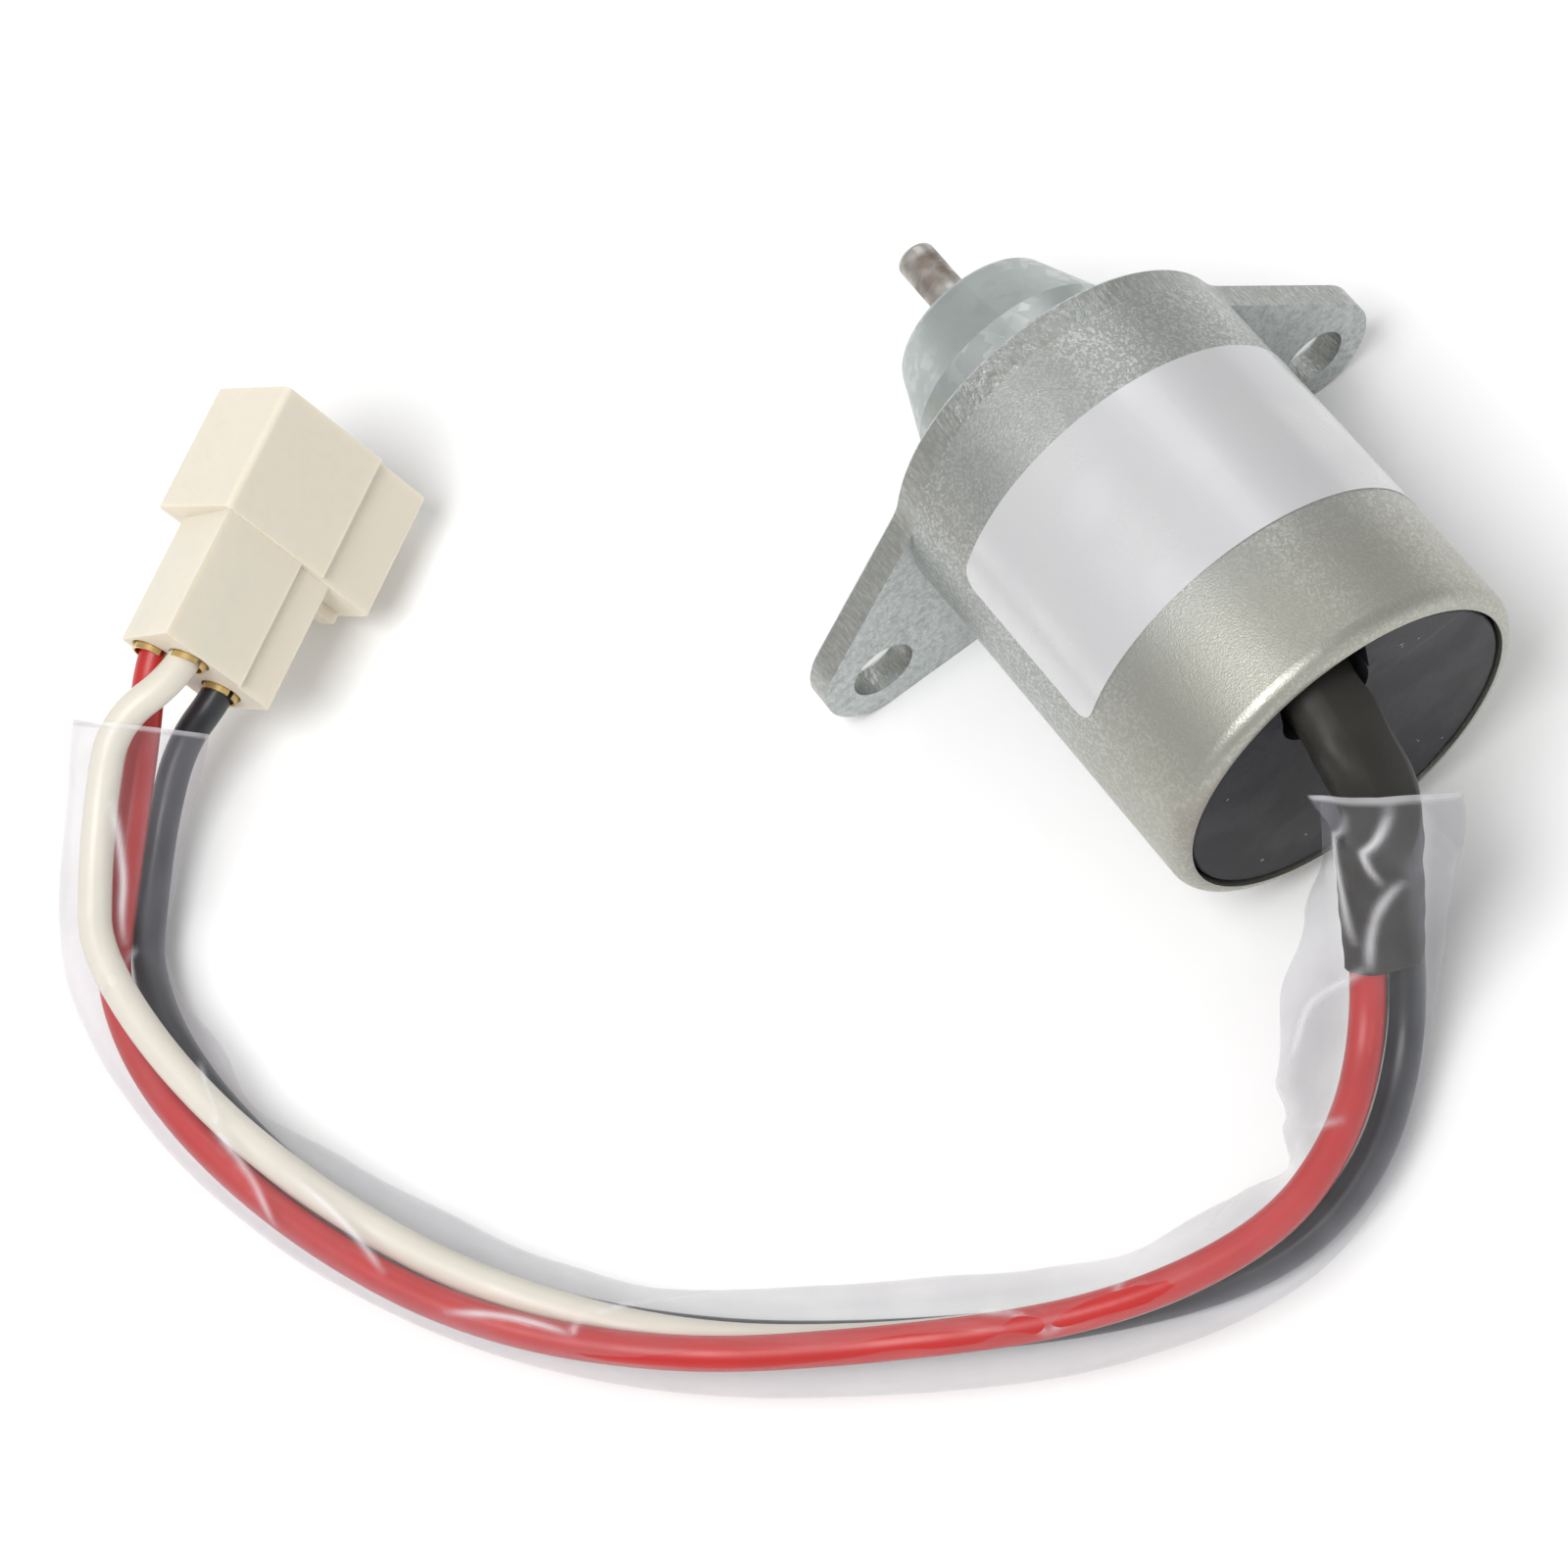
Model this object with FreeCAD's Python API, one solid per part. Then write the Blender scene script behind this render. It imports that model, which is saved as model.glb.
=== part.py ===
import FreeCAD, Part
import math
import os

os.makedirs("parts", exist_ok=True)

V = FreeCAD.Vector
AXIS = V(1, 0, 0)

# floor the part rests on, and the mounting flange (front face at x = 0)
floor_z = -20.5
plate_t = 3.2
hole_y = 26.0
hole_z = -14.0
hole_r = 3.4
tip_y = 25.6
tip_r = 6.9
side_inset = 1.97
junction_r = 6.0
edge_break = 0.35

# die-cast nose: pilot through the plate, then a cone
pilot_r = 11.5
spigot_step = 0.2
spigot_r = pilot_r - spigot_step
pilot_fit = 0.1
pilot_l = 6.4
cone_l = 7.8
cone_front_r = 8.4
cone_round = 1.3
collar_r = 13.5
collar_t = 2.0
guide_bore_r = 3.1
nose_bore_r = 8.0
nose_stop_x = 2.4

# drawn can, with the flange's disc just inside its outline
can_r = 19.0
disc_step = 0.2
disc_r = can_r - disc_step
can_wall = 1.0
can_rear_x = -44.4
can_round = 1.7

# end cap with a notch for the lead
cap_gap = 0.3
cap_face_x = -44.1
cap_step_x = -42.0
cap_t_x = -38.6
cap_round = 0.4
cap_fit = 0.15

# magnetic circuit
plunger_r = 7.0
plunger_run = 0.08
plunger_front_x = 2.2
plunger_rear_x = -20.0
travel = 8.0
stop_gap = 0.2
pole_stem_r = 4.0
plate_rear_x = -33.2
plate_rear_t = 2.2
peen_r = 5.2
peen_t = 1.0
ring_t = 3.0
tube_wall = 0.45
groove_depth = 0.5
groove_w = 1.6

# rod and its bush
rod_r = 2.0
rod_step = 0.3
rod_guide_r = rod_r + rod_step
rod_free = 0.3
rod_run = 0.03
rod_tip_x = 24.2
rod_tip_round = 0.7
rod_seat_l = 9.0
bush_l = 5.2
seal_r = 1.1

# bobbin and coils
bobbin_r = 8.75
bobbin_wall = 1.1
bobbin_gap = 1.2
bobbin_flange_r = can_r - can_wall - bobbin_gap
bobbin_flange_t = 1.3
coil_inset = 1.2
hold_r = bobbin_flange_r - coil_inset
pull_share = 0.562
pull_r = bobbin_r + pull_share * (hold_r - bobbin_r)
tape_t = 0.25
layer_gap = 0.05
tail_y = 1.2
tail_t = 0.7
slot_w = 3.0
slot_depth = 0.4
slot_z = hold_r - slot_depth

# return spring
spring_mid_r = 2.8
spring_wire_r = 0.4
spring_turns = 9
spring_seat_r = 3.6
spring_seat_depth = 1.2
spring_bore_x = -8.0

# bare label, swept from a direction beside +Z round towards -Y
label_t = 0.12
label_front_x = -11.2
label_w = 19.3
label_from_deg = 68.0
label_sweep_deg = 170.0
label_corner_r = 1.8

# lead: three wires in heat-shrink, then in a clear film sleeve
wire_r = 1.65
bundle_r = 2.1
shrink_in_r = 4.1
shrink_wall = 0.25
shrink_from = 0.35
shrink_to = 0.5
film_wall = 0.3
film_below = 5.35
film_above = 5.1
film_lift = 0.08
film_snug = 4.6
film_droop = 0.5
film_lean = 0.09
film_start = 20.5
film_length = 199.0
film_sections = 34
film_end_y = -8.4
film_end_z = 6.6
film_swell = 0.24
film_swell_from = 0.86
film_widths = [
    (0.0, 6.0, 7.2), (0.08, 6.6, 6.0), (0.14, 9.2, 4.8), (0.18, 7.8, 4.6), (0.215, 4.7, 4.8),
    (0.25, 4.9, 5.0), (0.305, 4.6, 5.2), (0.375, 5.6, 5.2), (0.445, 5.5, 5.0), (0.53, 4.6, 4.7),
    (0.585, 5.8, 4.8), (0.65, 7.0, 5.3), (0.71, 6.3, 5.9), (0.785, 4.6, 6.0), (0.83, 5.5, 5.6),
    (0.875, 4.7, 5.9), (0.93, 5.4, 6.7), (1.0, 6.6, 6.9),
]
exit_y = 0.9
exit_inset = 6.8
exit_z = can_r - exit_inset
lie_z = floor_z + film_below + film_lift
lead_points = [
    V(-34.6, exit_y, exit_z),
    V(-51.9, 1.2, 10.8),
    V(-54.6, 5.1, -4.8),
    V(-62.0, 11.0, lie_z),
    V(-69.0, 20.5, lie_z),
    V(-71.3, 32.0, lie_z),
    V(-67.5, 47.0, lie_z),
    V(-57.8, 64.5, lie_z),
    V(-46.3, 79.6, lie_z),
    V(-31.0, 92.3, lie_z),
    V(-13.0, 100.5, lie_z),
    V(5.0, 104.3, lie_z),
    V(19.0, 102.6, lie_z),
    V(28.6, 94.0, -10.4),
]
twist_deg = [120, 120, 120, 120, 120, 120, 100, 75, 45, 15, -15, -45, -60, -45]
wire_phase = {"wire_red": 0, "wire_black": -120, "wire_white": 120}
run_share = 0.45

# connector, in its own frame: x to the mating end, z out of the wide face
plug_corner = V(52.85, 73.27, -2.15)
plug_x = V(0.529, -0.848, 0.0)
plug_z = V(-0.736, -0.459, 0.497)
hood_l = 13.8
hood_w = 20.8
hood_h = 12.1
hood_wall = 1.2
hood_step_w = 7.4
hood_step_h = 0.8
block_l = 14.0
block_lo_y = -15.4
block_hi_y = -0.6
block_lo_z = 1.9
block_hi_z = 11.6
block_step_w = 4.6
block_step_h = 0.7
block_slant = 1.6
plug_round = 0.7
cavity_r = 2.15
cavity_floor = 3.0
cavities = {
    "red": (-4.4, 4.5),
    "white": (-5.8, 9.0),
    "black": (-12.0, 6.8),
}
blade_w = 2.8
blade_t = 0.8
blade_gap = 0.15
blade_l = 7.4
crimp_wall = 0.25
crimp_out = 0.6
crimp_l = 4.2
wire_in = 5.0
catch_w = 2.4
catch_inset = 0.4
catch_z = 4.2
web_w = 1.6
web_stop = 0.4
rise_l = 0.5


def export(name, shape):
    shape.exportStep("parts/" + name + ".step")


def revolve(points):
    # closed profile of (x, r) pairs turned about the solenoid axis
    pts = [V(x, 0, r) for x, r in points]
    face = Part.Face(Part.makePolygon(pts + pts[:1]))
    return face.revolve(V(0, 0, 0), AXIS, 360)


def ring(x0, x1, r_in, r_out):
    tube = Part.makeCylinder(r_out, x1 - x0, V(x0, 0, 0), AXIS)
    if r_in > 0:
        tube = tube.cut(Part.makeCylinder(r_in, x1 - x0, V(x0, 0, 0), AXIS))
    return tube


def edges_at(shape, x, r_from, r_to):
    found = []
    for edge in shape.Edges:
        circle = edge.Curve
        if isinstance(circle, Part.Circle) and abs(circle.Center.x - x) < 0.01:
            if r_from <= circle.Radius <= r_to:
                found.append(edge)
    return found


def flange():
    # each side edge is tangent to an ear and to a circle just inside the disc
    tip_z = floor_z + tip_r
    inside_r = disc_r - side_inset
    side = math.atan2(tip_y, tip_z) - math.acos((inside_r - tip_r) / math.hypot(tip_y, tip_z))
    out_y = tip_y + tip_r * math.sin(side)
    out_z = tip_z + tip_r * math.cos(side)
    apex_z = out_z + out_y * math.tan(side)
    left = V(0, -tip_y, tip_z)
    right = V(0, tip_y, tip_z)
    corners = [V(0, -tip_y, floor_z), V(0, tip_y, floor_z), right, V(0, out_y, out_z),
               V(0, 0, apex_z), V(0, -out_y, out_z), left]
    plate = Part.Face(Part.makePolygon(corners + corners[:1])).extrude(V(-plate_t, 0, 0))
    for tip in (left, right):
        plate = plate.fuse(Part.makeCylinder(tip_r, plate_t, tip, -AXIS))
    trim_z = inside_r * math.cos(side)
    plate = plate.cut(Part.makeBox(plate_t, 2 * tip_y, apex_z, V(-plate_t, -tip_y, trim_z)))
    plate = plate.fuse(Part.makeCylinder(disc_r, plate_t, V(0, 0, 0), -AXIS)).removeSplitter()
    plate = round_junctions(plate)
    for side_y in (-hole_y, hole_y):
        plate = plate.cut(Part.makeCylinder(hole_r, plate_t, V(0, side_y, hole_z), -AXIS))
    plate = plate.cut(Part.makeCylinder(spigot_r + pilot_fit, plate_t, V(0, 0, 0), -AXIS))
    rims = []
    for edge in plate.Edges:
        box = edge.BoundBox
        if box.XMax - box.XMin < 0.01 and abs(box.XMax) < 0.01:
            rims.append(edge)
    return plate.makeChamfer(edge_break, rims)


def round_junctions(plate):
    inner = []
    for edge in plate.Edges:
        box = edge.BoundBox
        along = box.XMax - box.XMin > plate_t / 2 and box.YLength < 0.01
        if along and box.ZMin > 0:
            inner.append(edge)
    return plate.makeFillet(junction_r, inner)


def nose():
    front_x = pilot_l + cone_l
    back_x = -plate_t - collar_t
    body = revolve([(back_x, 0), (front_x, 0), (front_x, cone_front_r), (pilot_l, pilot_r),
                    (0, pilot_r), (0, spigot_r), (-plate_t, spigot_r), (-plate_t, collar_r),
                    (back_x, collar_r)])
    body = body.makeFillet(cone_round, edges_at(body, front_x, cone_front_r - 0.1,
                                                cone_front_r + 0.1))
    body = body.cut(ring(back_x, nose_stop_x, 0, nose_bore_r))
    return body.cut(ring(back_x, front_x, 0, guide_bore_r + layer_gap))


def rod_bush():
    front_x = pilot_l + cone_l - seal_r * 2
    return ring(front_x - bush_l, front_x, rod_guide_r + rod_run, guide_bore_r)


def rod_seal():
    back_x = pilot_l + cone_l - seal_r * 2
    return ring(back_x + layer_gap, back_x + seal_r * 1.6, rod_guide_r + rod_run, guide_bore_r)


def can():
    inner = can_r - can_wall
    arc_x = can_rear_x + can_round
    centre_r = can_r - can_round
    lean = math.sqrt(0.5)
    small = can_round - can_wall
    outer_arc = Part.Arc(V(arc_x, 0, can_r),
                         V(arc_x - can_round * lean, 0, centre_r + can_round * lean),
                         V(can_rear_x, 0, centre_r))
    inner_arc = Part.Arc(V(can_rear_x + can_wall, 0, centre_r),
                         V(arc_x - small * lean, 0, centre_r + small * lean),
                         V(arc_x, 0, inner))
    edges = [Part.LineSegment(V(-plate_t, 0, inner), V(-plate_t, 0, can_r)),
             Part.LineSegment(V(-plate_t, 0, can_r), V(arc_x, 0, can_r)),
             outer_arc,
             Part.LineSegment(V(can_rear_x, 0, centre_r), V(can_rear_x + can_wall, 0, centre_r)),
             inner_arc,
             Part.LineSegment(V(arc_x, 0, inner), V(-plate_t, 0, inner))]
    face = Part.Face(Part.Wire([e.toShape() for e in edges]))
    return face.revolve(V(0, 0, 0), AXIS, 360)


def end_cap():
    lip_r = can_r - can_round
    face_r = lip_r - cap_gap
    wide_r = can_r - can_wall - cap_fit
    body = revolve([(cap_face_x, 0), (cap_t_x, 0), (cap_t_x, wide_r), (cap_step_x, wide_r),
                    (cap_step_x, face_r), (cap_face_x, face_r)])
    body = body.makeFillet(cap_round, edges_at(body, cap_face_x, face_r - 0.1, face_r + 0.1))
    slot_r = shrink_in_r + shrink_wall + cap_gap
    out = lead_points[1] - lead_points[0]
    notch = Part.makeCylinder(slot_r, out.Length, lead_points[0], out)
    mouth = Part.makeBox(cap_step_x - cap_face_x, 2 * slot_r, can_r,
                         V(cap_face_x, exit_y - slot_r, exit_z))
    return body.cut(notch).cut(mouth)


def potting():
    # fills the chamber between the rear flux plate and the cap, with a pocket for the wires
    wide_r = can_r - can_wall - cap_fit
    front_x = plate_rear_x - peen_t - layer_gap
    body = ring(cap_t_x, front_x, 0, wide_r)
    pocket_r = shrink_in_r + shrink_wall
    body = body.cut(Part.makeCylinder(pocket_r, front_x - cap_t_x,
                                      V(cap_t_x, exit_y, exit_z), AXIS))
    return body.cut(tail_box(layer_gap))


def plunger():
    body = revolve([(plunger_rear_x, 0), (plunger_front_x, 0), (plunger_front_x, plunger_r - 0.8),
                    (plunger_front_x - 0.8, plunger_r), (plunger_rear_x + 0.5, plunger_r),
                    (plunger_rear_x, plunger_r - 0.5)])
    body = body.cut(ring(plunger_rear_x, spring_bore_x, 0, spring_seat_r))
    body = body.cut(ring(plunger_front_x - rod_seat_l, plunger_front_x, 0, rod_guide_r))
    for share in (0.25, 0.75):
        x = plunger_rear_x + share * (plunger_front_x - plunger_rear_x)
        body = body.cut(ring(x, x + groove_w, plunger_r - groove_depth, plunger_r + 1))
    return body


def rod():
    shoulder_x = pilot_l + cone_l + rod_free
    body = ring(plunger_front_x - rod_seat_l, shoulder_x, 0, rod_guide_r)
    body = body.fuse(ring(shoulder_x, rod_tip_x, 0, rod_r))
    return body.makeFillet(rod_tip_round, edges_at(body, rod_tip_x, rod_r - 0.1, rod_r + 0.1))


def guide_tube():
    inner = plunger_r + plunger_run
    outer = inner + tube_wall
    return ring(plate_rear_x + plate_rear_t, nose_stop_x - layer_gap, inner, outer)


def fixed_pole():
    front_x = plunger_rear_x - travel - stop_gap
    back_x = plate_rear_x + plate_rear_t
    body = ring(back_x, front_x, 0, plunger_r)
    body = body.fuse(ring(plate_rear_x - peen_t, back_x, 0, pole_stem_r))
    body = body.fuse(ring(plate_rear_x - peen_t, plate_rear_x, 0, peen_r)).removeSplitter()
    return body.cut(ring(front_x - spring_seat_depth, front_x, 0, spring_seat_r))


def rear_flux_plate():
    body = ring(plate_rear_x, plate_rear_x + plate_rear_t, pole_stem_r, can_r - can_wall)
    slot = Part.makeBox(plate_rear_t, slot_w, can_r, V(plate_rear_x, tail_y - slot_w / 2, slot_z))
    return body.cut(slot)


def front_flux_ring():
    return ring(-plate_t - ring_t, -plate_t, collar_r + pilot_fit, can_r - can_wall - cap_fit)


def seat_washer():
    # soft washer that holds the bobbin tight against the rear flux plate
    return ring(-plate_t - ring_t, -plate_t - collar_t, bobbin_r - bobbin_wall, collar_r - 1.0)


def bobbin():
    front_x = -plate_t - ring_t
    rear_x = plate_rear_x + plate_rear_t
    body = ring(rear_x, front_x, bobbin_r - bobbin_wall, bobbin_r)
    body = body.fuse(ring(rear_x, rear_x + bobbin_flange_t, bobbin_r - 0.1, bobbin_flange_r))
    body = body.fuse(ring(front_x - bobbin_flange_t, front_x, bobbin_r - 0.1, bobbin_flange_r))
    slot = Part.makeBox(bobbin_flange_t, slot_w, can_r, V(rear_x, tail_y - slot_w / 2, slot_z))
    return body.removeSplitter().cut(slot)


def winding(r_in, r_out):
    front_x = -plate_t - ring_t - bobbin_flange_t - layer_gap
    rear_x = plate_rear_x + plate_rear_t + bobbin_flange_t + layer_gap
    return ring(rear_x, front_x, r_in, r_out)


def tail_box(gap):
    # magnet wires bound together, from the outer winding through the slots to the pocket
    start_x = plate_rear_x + plate_rear_t + bobbin_flange_t + tail_t
    end_x = cap_t_x + 2 * tail_t
    low_z = hold_r + tape_t + 2 * layer_gap
    return Part.makeBox(start_x - end_x + 2 * gap, 2 * (tail_t + gap), tail_t + 2 * gap,
                        V(end_x - gap, tail_y - tail_t - gap, low_z - gap))


def spring():
    front_x = spring_bore_x
    back_x = plunger_rear_x - travel - stop_gap - spring_seat_depth
    length = front_x - back_x - 2 * spring_wire_r
    helix = Part.makeHelix(length / spring_turns, length, spring_mid_r)
    helix.Placement = FreeCAD.Placement(V(back_x + spring_wire_r, 0, 0),
                                        FreeCAD.Rotation(V(0, 0, 1), AXIS))
    start = helix.Vertexes[0].Point
    circle = Part.Circle(start, helix.Edges[0].tangentAt(helix.Edges[0].FirstParameter),
                         spring_wire_r)
    profile = Part.Wire(circle.toShape())
    return Part.Wire(helix.Edges).makePipeShell([profile], True, True)


def label():
    back_x = label_front_x - label_w
    corners = [V(back_x, 0, can_r), V(label_front_x, 0, can_r),
               V(label_front_x, 0, can_r + label_t), V(back_x, 0, can_r + label_t)]
    strip = Part.Face(Part.makePolygon(corners + corners[:1]))
    strip.rotate(V(0, 0, 0), AXIS, -label_from_deg)
    body = strip.revolve(V(0, 0, 0), AXIS, label_sweep_deg)
    short = [edge for edge in body.Edges if edge.Length < 2 * label_t]
    return body.makeFillet(label_corner_r, short)


def plug_place(x, y, z):
    across = plug_z.cross(plug_x)
    return plug_corner + plug_x * x + across * y + plug_z * z


def to_plug(shape):
    across = plug_z.cross(plug_x)
    turn = FreeCAD.Matrix(plug_x.x, across.x, plug_z.x, plug_corner.x,
                          plug_x.y, across.y, plug_z.y, plug_corner.y,
                          plug_x.z, across.z, plug_z.z, plug_corner.z,
                          0, 0, 0, 1)
    shape.Placement = FreeCAD.Placement(turn).multiply(shape.Placement)
    return shape


def section(points, x0, length):
    pts = [V(x0, y, z) for y, z in points]
    return Part.Face(Part.makePolygon(pts + pts[:1])).extrude(V(length, 0, 0))


def housing():
    hood = section([(-hood_w, 0), (0, 0), (0, hood_h), (hood_step_w - hood_w, hood_h),
                    (hood_step_w - hood_w, hood_h - hood_step_h), (-hood_w, hood_h - hood_step_h)],
                   0, hood_l)
    block = section([(block_lo_y, block_lo_z), (block_hi_y - block_slant, block_lo_z),
                     (block_hi_y, block_hi_z), (block_lo_y + block_step_w, block_hi_z),
                     (block_lo_y + block_step_w, block_hi_z - block_step_h),
                     (block_lo_y, block_hi_z - block_step_h)], -block_l, block_l)
    hood = round_along(hood, plug_round)
    block = round_along(block, plug_round / 2)
    body = hood.fuse(block)
    body = body.cut(Part.makeBox(hood_l, hood_w - 2 * hood_wall,
                                 hood_h - hood_step_h - 2 * hood_wall,
                                 V(hood_wall, hood_wall - hood_w, hood_wall)))
    catch = Part.makeBox(hood_wall, catch_w, catch_w,
                         V(-hood_wall, -hood_w + catch_inset, catch_z))
    body = body.fuse(catch)
    for y, z in cavities.values():
        bore = Part.makeCylinder(cavity_r, block_l - cavity_floor, V(-block_l, y, z), AXIS)
        body = body.cut(bore).cut(blade_box(y, z, -cavity_floor, hood_l, blade_gap))
    return to_plug(body)


def round_along(body, radius):
    long_edges = []
    for edge in body.Edges:
        box = edge.BoundBox
        outer = box.YMin > -0.1 or box.YMax < body.BoundBox.YMin + 0.1
        level = box.ZMax < 0.1 + body.BoundBox.ZMin or box.ZMin > body.BoundBox.ZMax - 1.2
        if box.XLength > 1 and outer and level:
            long_edges.append(edge)
    return body.makeFillet(radius, long_edges)


def blade_box(y, z, x0, length, gap):
    return Part.makeBox(length, blade_w + 2 * gap, blade_t + 2 * gap,
                        V(x0, y - blade_w / 2 - gap, z - blade_t / 2 - gap))


def terminal(y, z):
    start = -block_l - crimp_out
    barrel = Part.makeCylinder(wire_r + crimp_wall, crimp_l, V(start, y, z), AXIS)
    barrel = barrel.cut(Part.makeCylinder(wire_r, crimp_l, V(start, y, z), AXIS))
    seam = Part.makeBox(crimp_l, 0.5, 3 * wire_r, V(start, y - 0.25, z))
    barrel = barrel.cut(seam)
    rise_x = -cavity_floor - web_stop - rise_l
    low_z = z - wire_r - crimp_wall
    web = Part.makeBox(-cavity_floor - web_stop - start - crimp_l, web_w, crimp_wall,
                       V(start + crimp_l, y - web_w / 2, low_z))
    rise = Part.makeBox(rise_l, web_w, wire_r + crimp_wall + blade_t / 2,
                        V(rise_x, y - web_w / 2, low_z))
    blade = blade_box(y, z, rise_x, blade_l + cavity_floor, 0)
    return to_plug(barrel.fuse(web).fuse(rise).fuse(blade).removeSplitter())


def unit(v):
    return V(v).normalize()


def bundle_offset(points, i, angle_deg, radius):
    # corner of one wire's run, set off from the bundle's corner
    into = unit(points[i] - points[max(i - 1, 0)]) if i else unit(points[1] - points[0])
    out = unit(points[i + 1] - points[i]) if i + 1 < len(points) else into
    mean = unit(into + out)
    side = unit(V(0, 0, 1).cross(mean))
    up = mean.cross(side)
    angle = math.radians(angle_deg)
    offset = side * (radius * math.cos(angle)) + up * (radius * math.sin(angle))
    half = into.getAngle(out) / 2
    if half < 0.001:
        return points[i] + offset
    normal = unit(into.cross(out))
    bend = normal.cross(mean)
    return points[i] + bend * (offset.dot(bend) / math.cos(half)) + normal * offset.dot(normal)


def wire_points(name):
    colour = name.split("_")[1]
    points = []
    for i in range(len(lead_points)):
        points.append(bundle_offset(lead_points, i, twist_deg[i] + wire_phase[name], bundle_r))
    y, z = cavities[colour]
    points.append(plug_place(-block_l - crimp_out - 2.0, y, z))
    points.append(plug_place(-block_l + wire_in, y, z))
    return points


def soft_path(name, points, begin, end):
    # straight runs joined by tangent arcs; begin and end lie on the first and last run
    edges = []
    radii = []
    start = begin
    length = 0.0
    for i in range(1, len(points) - 1):
        into = points[i] - points[i - 1]
        out = points[i + 1] - points[i]
        half = into.getAngle(out) / 2
        cut = run_share * min(into.Length, out.Length)
        radii.append(cut / math.tan(half))
        first = points[i] - unit(into) * cut
        last = points[i] + unit(out) * cut
        towards = unit(unit(out) - unit(into))
        middle = points[i] + towards * (radii[-1] / math.cos(half) - radii[-1])
        edges.append(Part.LineSegment(start, first).toShape())
        edges.append(Part.Arc(first, middle, last).toShape())
        length += (first - start).Length + 2 * half * radii[-1]
        start = last
    edges.append(Part.LineSegment(start, end).toShape())
    length += (end - start).Length
    print(name, "length", round(length, 1), "least radius", round(min(radii), 1))
    return Part.Wire(edges), length


def tube_along(name, points, begin, end, r_in, r_out):
    path, length = soft_path(name, points, begin, end)
    direction = unit(points[1] - points[0])
    outer = Part.Wire(Part.Circle(begin, direction, r_out).toShape())
    body = path.makePipeShell([outer], True, False)
    section_area = math.pi * (r_out ** 2 - r_in ** 2)
    if r_in > 0:
        inner = Part.Wire(Part.Circle(begin, direction, r_in).toShape())
        body = body.cut(path.makePipeShell([inner], True, False))
    print(name, "volume", round(body.Volume, 1), "section x length", round(section_area * length, 1))
    return body


def wire(name):
    points = wire_points(name)
    return tube_along(name, points, points[0], points[-1], 0, wire_r)


def between(i, share):
    return lead_points[i] + (lead_points[i + 1] - lead_points[i]) * share


def shrink_sleeve():
    return tube_along("shrink_sleeve", lead_points[:4], between(0, shrink_from), between(2, shrink_to),
                      shrink_in_r, shrink_in_r + shrink_wall)


def film_width(share):
    # widths to the inner and outer side of the lead's bend at a share of the sleeve's length
    for last, here in zip(film_widths, film_widths[1:]):
        if share <= here[0]:
            t = (share - last[0]) / (here[0] - last[0])
            ease = t * t * (3 - 2 * t)
            return [a + (b - a) * ease for a, b in zip(last[1:], here[1:])]
    return film_widths[-1][1:]


def film_outline(place, along, share, wall):
    inner_w, outer_w = film_width(share)
    side = unit(V(0, 0, 1).cross(along))
    up = along.cross(side)
    loose = max(0, inner_w - film_snug)
    points = []
    for step in range(12):
        angle = step * math.pi / 6
        wide = (outer_w if math.cos(angle) > 0 else inner_w) - wall
        tall = (film_above if math.sin(angle) > 0 else film_below) - wall
        inward = max(0, -math.cos(angle))
        tall *= 1 - film_lean * loose * inward
        tall *= 1 + film_swell * max(0, share - film_swell_from) / (1 - film_swell_from)
        height = tall * math.sin(angle) - film_droop * loose * inward ** 2
        points.append(place + side * (wide * math.cos(angle)) + up * height)
    curve = Part.BSplineCurve()
    curve.interpolate(points, PeriodicFlag=True)
    return Part.Wire(curve.toShape())


def film_sleeve():
    # flat, lobed tube that hugs the wires at its pinches
    centre = lead_points + [plug_place(-block_l - crimp_out, film_end_y, film_end_z)]
    path, length = soft_path("film_sleeve", centre, centre[0], centre[-1])
    fine = path.discretize(Number=10 * int(length))
    first = film_start / length * (len(fine) - 1)
    step = film_length / length * (len(fine) - 1) / (film_sections - 1)
    places = [fine[round(first + step * i)] for i in range(film_sections)]
    skins = []
    for wall in (0, film_wall):
        outlines = []
        for i, place in enumerate(places):
            before = places[max(i - 1, 0)]
            after = places[min(i + 1, film_sections - 1)]
            share = i / (film_sections - 1)
            outlines.append(film_outline(place, unit(after - before), share, wall))
        skins.append(Part.makeLoft(outlines, True, False))
    return skins[0].cut(skins[1])


def main():
    export("mounting_flange", flange())
    export("nose_housing", nose())
    export("rod_bush", rod_bush())
    export("rod_seal", rod_seal())
    export("can", can())
    export("end_cap", end_cap())
    export("potting", potting())
    export("plunger", plunger())
    export("plunger_rod", rod())
    export("guide_tube", guide_tube())
    export("fixed_pole", fixed_pole())
    export("rear_flux_plate", rear_flux_plate())
    export("front_flux_ring", front_flux_ring())
    export("seat_washer", seat_washer())
    export("bobbin", bobbin())
    export("pull_coil", winding(bobbin_r + layer_gap, pull_r))
    export("coil_tape", winding(pull_r + layer_gap, pull_r + tape_t))
    export("hold_coil", winding(pull_r + tape_t + layer_gap, hold_r))
    export("outer_tape", winding(hold_r + layer_gap, hold_r + tape_t))
    export("coil_tail", tail_box(0))
    export("return_spring", spring())
    export("label", label())
    export("connector_housing", housing())
    for colour, (y, z) in cavities.items():
        export("terminal_" + colour, terminal(y, z))
    for name in wire_phase:
        export(name, wire(name))
    export("shrink_sleeve", shrink_sleeve())
    export("film_sleeve", film_sleeve())


main()
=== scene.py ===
import math

import bpy
import numpy as np
from mathutils import Matrix, Vector, noise


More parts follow.
